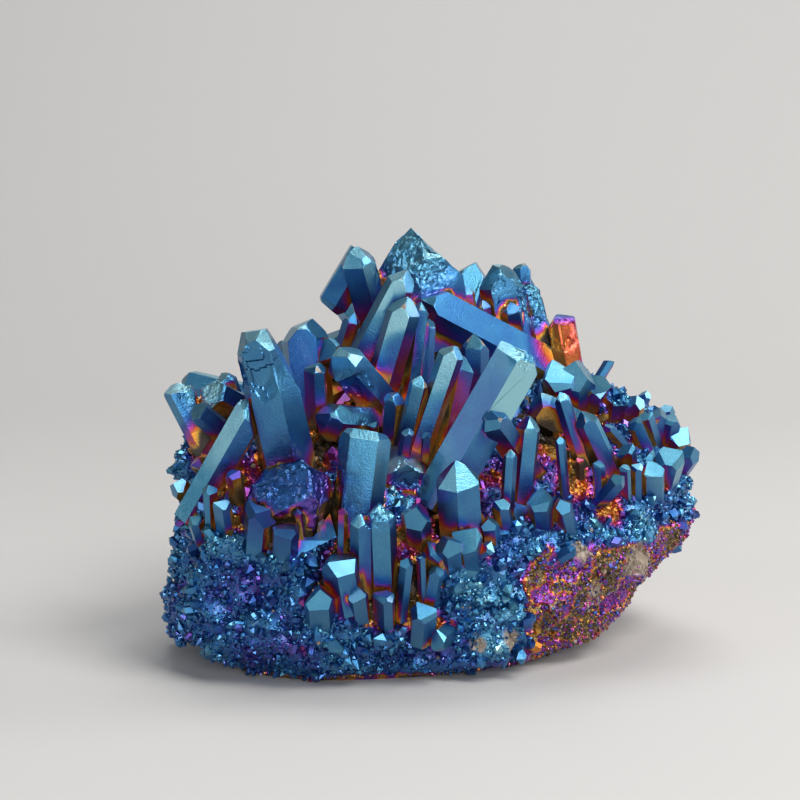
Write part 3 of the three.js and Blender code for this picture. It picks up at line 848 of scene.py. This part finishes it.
# %% A tiny crystal as a template
def many_crystals(places, directions, widths, lengths, sides, stubby, roof):
    """Joined crystals as points and triangles. stubby ones are a ring between two ends, the others a prism
    between two ends, and roof is how high the upper end is in widths. Returns also each corner's height
    along its crystal, from 0 to 1."""
    count = len(places)
    rings = 1 if stubby else 2
    turn = chance.uniform(0, 2 * math.pi, (count, 1)) + np.arange(sides) * 2 * math.pi / sides
    turn = turn + chance.uniform(-0.22, 0.22, (count, sides))
    reach = widths[:, None] / 2 * chance.uniform(0.75, 1.15, (count, sides))
    away = unit(np.cross(directions, chance.normal(size=(count, 3))))
    aside = np.cross(directions, away)
    across = (reach * np.cos(turn))[..., None] * away[:, None]
    along = (reach * np.sin(turn))[..., None] * aside[:, None]
    flat = across + along
    slope = chance.uniform(-0.5, 0.5, (count, 2))
    tilt = (reach * np.cos(turn)) * slope[:, :1] + (reach * np.sin(turn)) * slope[:, 1:]
    cap = np.minimum(widths * chance.uniform(*roof, count), 0.7 * lengths)

    def ring(height):
        level = height[:, None] + tilt
        return places[:, None] + flat + level[..., None] * directions[:, None]

    upper = ring(lengths - cap)
    off = unit(away + aside) * (widths * chance.uniform(-0.22, 0.22, count))[:, None]
    tip = places + directions * lengths[:, None] + off
    root = places - directions * (0.6 * widths)[:, None]
    layers = [root[:, None], upper, tip[:, None]]
    if rings == 2:
        layers.insert(1, ring(-0.2 * widths))
    block = np.concatenate(layers, axis=1)
    size = block.shape[1]
    triangles = []
    for k in range(sides):
        after = (k + 1) % sides
        triangles.append((0, 1 + after, 1 + k))
        if rings == 2:
            triangles.append((1 + k, 1 + after, 1 + sides + after))
            triangles.append((1 + k, 1 + sides + after, 1 + sides + k))
        last = 1 + (rings - 1) * sides
        triangles.append((last + k, last + after, size - 1))
    triangles = (np.array(triangles)[None] + size * np.arange(count)[:, None, None]).reshape(-1, 3)
    height = ((block - places[:, None]) * directions[:, None]).sum(axis=2) / lengths[:, None]
    return block.reshape(-1, 3), triangles, np.clip(height, 0, 1).ravel(), np.repeat(np.arange(count), size)


# %% [markdown]
# The crystals are sown on the rough rock by area: a big triangle gets more of them than a small one. Seeds
# that fall inside a large crystal, or on bare broken rock, are dropped.

# %% Sowing
rock_normals = unit(np.cross(
    rock_rough[rock_triangles[:, 1]] - rock_rough[rock_triangles[:, 0]],
    rock_rough[rock_triangles[:, 2]] - rock_rough[rock_triangles[:, 0]],
))
rock_areas = np.linalg.norm(np.cross(
    rock_rough[rock_triangles[:, 1]] - rock_rough[rock_triangles[:, 0]],
    rock_rough[rock_triangles[:, 2]] - rock_rough[rock_triangles[:, 0]],
), axis=1) / 2
rock_corner_film = rock_film_values[rock_of_corner].mean(axis=1)


def sow(count, wanted):
    """Seeds on the rock: places, normals and film. wanted gives, from places, the share of seeds kept."""
    picked = chance.choice(len(rock_triangles), count, p=rock_areas / rock_areas.sum())
    share = chance.dirichlet((1, 1, 1), count)
    places = (rock_rough[rock_triangles[picked]] * share[..., None]).sum(axis=1)
    kept = chance.random(count) < wanted(places) * ~grown_face[rock_faces[picked]]
    kept &= places[:, 2] > 0.6
    for i in np.flatnonzero(kept):
        near, normal, _, distance = crystals_only.find_nearest(places[i].tolist(), 6.0)
        if near is not None and (Vector(places[i]) - near).dot(normal) < 0.15:
            kept[i] = False
    return places[kept], rock_normals[picked[kept]], rock_corner_film[picked[kept]]


def grow(name, seeds, widths, lengthening, sides, stubby, roof, film_spread, lean=0.5, bare=None,
         material=druse_film):
    """Tiny crystals on the seeds, as one piece."""
    places, normals, film = seeds
    directions = unit(normals + lean * chance.normal(size=places.shape) + np.array([0, 0, 0.15]))
    lengths = widths * chance.uniform(*lengthening, len(places))
    points, triangles, height, owner = many_crystals(places, directions, widths, lengths, sides, stubby, roof)
    points[:, 2] = np.maximum(points[:, 2], 0.05)
    own_film = film + chance.normal(0, film_spread, len(places))
    corner_film = own_film[owner] + 0.10 * (height - 0.4)
    if bare is None:
        bare = chance.random(len(places)) < 0.008
    bare = bare[owner] * 1.0
    values = {"film": corner_film[triangles], "bare": bare[triangles]}
    return make_piece(name, points, triangles, values, material)


DENSITY = 1.0


def druse_widths(places, low, high):
    return (low + (high - low) * chance.random(len(places)) ** 2.2) * (1 + 0.25 * lumps(places, 7.0, 31))


def front_share(places):
    return 1 - ramp_between(places[:, 1], 4, 14)


def grow_druse(name, count, side, low, high, lengthening, sides, stubby, roof):
    """Druse on one side of the rock."""
    seeds = sow(int(count * DENSITY), lambda places: (1 - broken_share(places)) * side(places))
    widths = druse_widths(seeds[0], low, high)
    bare = chance.random(len(widths)) < 0.004 + 0.9 * stubby * pale_share(seeds[0])
    grow(name, seeds, widths, lengthening, sides, stubby, roof, 0.045, bare=bare)


grow_druse("fine_druse_front", 50000, front_share, 0.55, 1.35, (0.35, 0.75), 5, True, (0.15, 0.45))
grow_druse("fine_druse_back", 24000, lambda places: 1 - front_share(places), 0.8, 1.9, (0.5, 1.0), 5,
           True, (0.2, 0.6))
grow_druse("coarse_druse", 5000, lambda places: np.ones(len(places)), 0.9, 2.6, (0.7, 1.4), 6, False,
           (0.3, 0.7))

# %% [markdown]
# The broken rock is granular: crumbs of quartz and of iron-stained matrix. Every crumb faced the vapour its
# own way, so their film goes from gold to blue from one crumb to the next, and many are plain brown.

# %% Crumbs
CRUMB_FILMS = {0.02: 0.30, 0.15: 0.12, 0.34: 0.14, 0.46: 0.26, 0.60: 0.18}  # thickness and share of crumbs


def grow_crumbs(name, count, low, high):
    """Crumbs on the broken rock."""
    places, normals, _ = sow(int(count * DENSITY), broken_share)
    film = chance.choice(list(CRUMB_FILMS), len(places), p=list(CRUMB_FILMS.values()))
    film = np.maximum(film + 0.10 * lumps(places, 5.0, 41), 0)
    bare = chance.random(len(places)) < 0.03 + 0.85 * pale_share(places)
    widths = druse_widths(places, low, high)
    grow(name, (places, normals, film), widths, (0.4, 0.8), 5, True, (0.2, 0.6), 0.03, bare=bare,
         material=rock_film)


grow_crumbs("broken_crumbs", 70000, 0.45, 1.0)

# %% [markdown]
# ## The studio
# A pale sheet runs from under the cluster up behind it, so there is no horizon. The film is a mirror for
# what stands round it: large soft lamps give the broad bright faces, and the dim room between them is what
# keeps the other faces deep.

# %% Sheet
def sweep_sheet():
    """A floor that bends up into a wall, as one strip with a round bend."""
    wide, near, far, bend, high = 3.0, -1.6, 0.75, 0.45, 2.2
    profile = [(near, 0.0), (far - bend, 0.0)]
    for i in range(1, 17):
        turn = math.pi / 2 * i / 16
        profile.append((far - bend + bend * math.sin(turn), bend - bend * math.cos(turn)))
    profile.append((far, high))
    points = [(x, y, z) for y, z in profile for x in (-wide / 2, wide / 2)]
    faces = [(2 * i, 2 * i + 1, 2 * i + 3, 2 * i + 2) for i in range(len(profile) - 1)]
    mesh = bpy.data.meshes.new("studio_sheet")
    mesh.from_pydata(points, [], faces)
    for polygon in mesh.polygons:
        polygon.use_smooth = True
    material = bpy.data.materials.new("pale_sheet")
    material.use_nodes = True
    shader = material.node_tree.nodes["Principled BSDF"]
    shader.inputs["Base Color"].default_value = (0.50, 0.49, 0.48, 1.0)
    shader.inputs["Roughness"].default_value = 0.85
    mesh.materials.append(material)
    sheet = bpy.data.objects.new("studio_sheet", mesh)
    bpy.context.scene.collection.objects.link(sheet)


sweep_sheet()

# %% [markdown]
# A metal-like film shows little of its own and much of what it mirrors, so the lamps are large and soft. The
# key stands high on the right, and weaker ones in front and at both sides give each face its own
# brightness. The room itself is dim, which keeps the recesses dark.

# %% Lamps
world = bpy.data.worlds.new("room")
world.use_nodes = True
world.node_tree.nodes["Background"].inputs["Color"].default_value = (0.75, 0.85, 1.0, 1.0)
world.node_tree.nodes["Background"].inputs["Strength"].default_value = 0.12
bpy.context.scene.world = world
bpy.context.scene.view_settings.view_transform = "Standard"


def softbox(name, azimuth, elevation, distance, size, watts, colour):
    """A square lamp aimed at the cluster. Azimuth 0 is on the camera's side, and grows to the right."""
    lamp = bpy.data.lights.new(name, "AREA")
    lamp.size = size
    lamp.energy = watts
    lamp.color = colour
    holder = bpy.data.objects.new(name, lamp)
    turn, rise = math.radians(azimuth), math.radians(elevation)
    direction = Vector((math.sin(turn) * math.cos(rise), -math.cos(turn) * math.cos(rise), math.sin(rise)))
    holder.location = Vector(AIM * MM) + direction * distance
    holder.rotation_euler = direction.to_track_quat("Z", "Y").to_euler()
    bpy.context.scene.collection.objects.link(holder)


softbox("key", 46, 48, 0.8, 0.40, 5.6, (1.0, 0.98, 0.95))
softbox("front", 8, 13, 1.2, 0.50, 7.0, (0.96, 0.98, 1.0))
softbox("right", 104, 16, 0.9, 0.30, 3.0, (1.0, 0.99, 0.97))
softbox("left", -66, 22, 1.1, 0.35, 1.6, (0.90, 0.95, 1.0))
softbox("high", 170, 72, 1.0, 0.60, 5.0, (1.0, 0.99, 0.97))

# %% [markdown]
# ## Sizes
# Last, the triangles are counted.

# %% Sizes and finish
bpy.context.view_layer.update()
largest = sorted(made_triangles, key=made_triangles.get, reverse=True)[:6]
print("triangles in all:", sum(made_triangles.values()))
print("largest pieces:", {name: made_triangles[name] for name in largest})
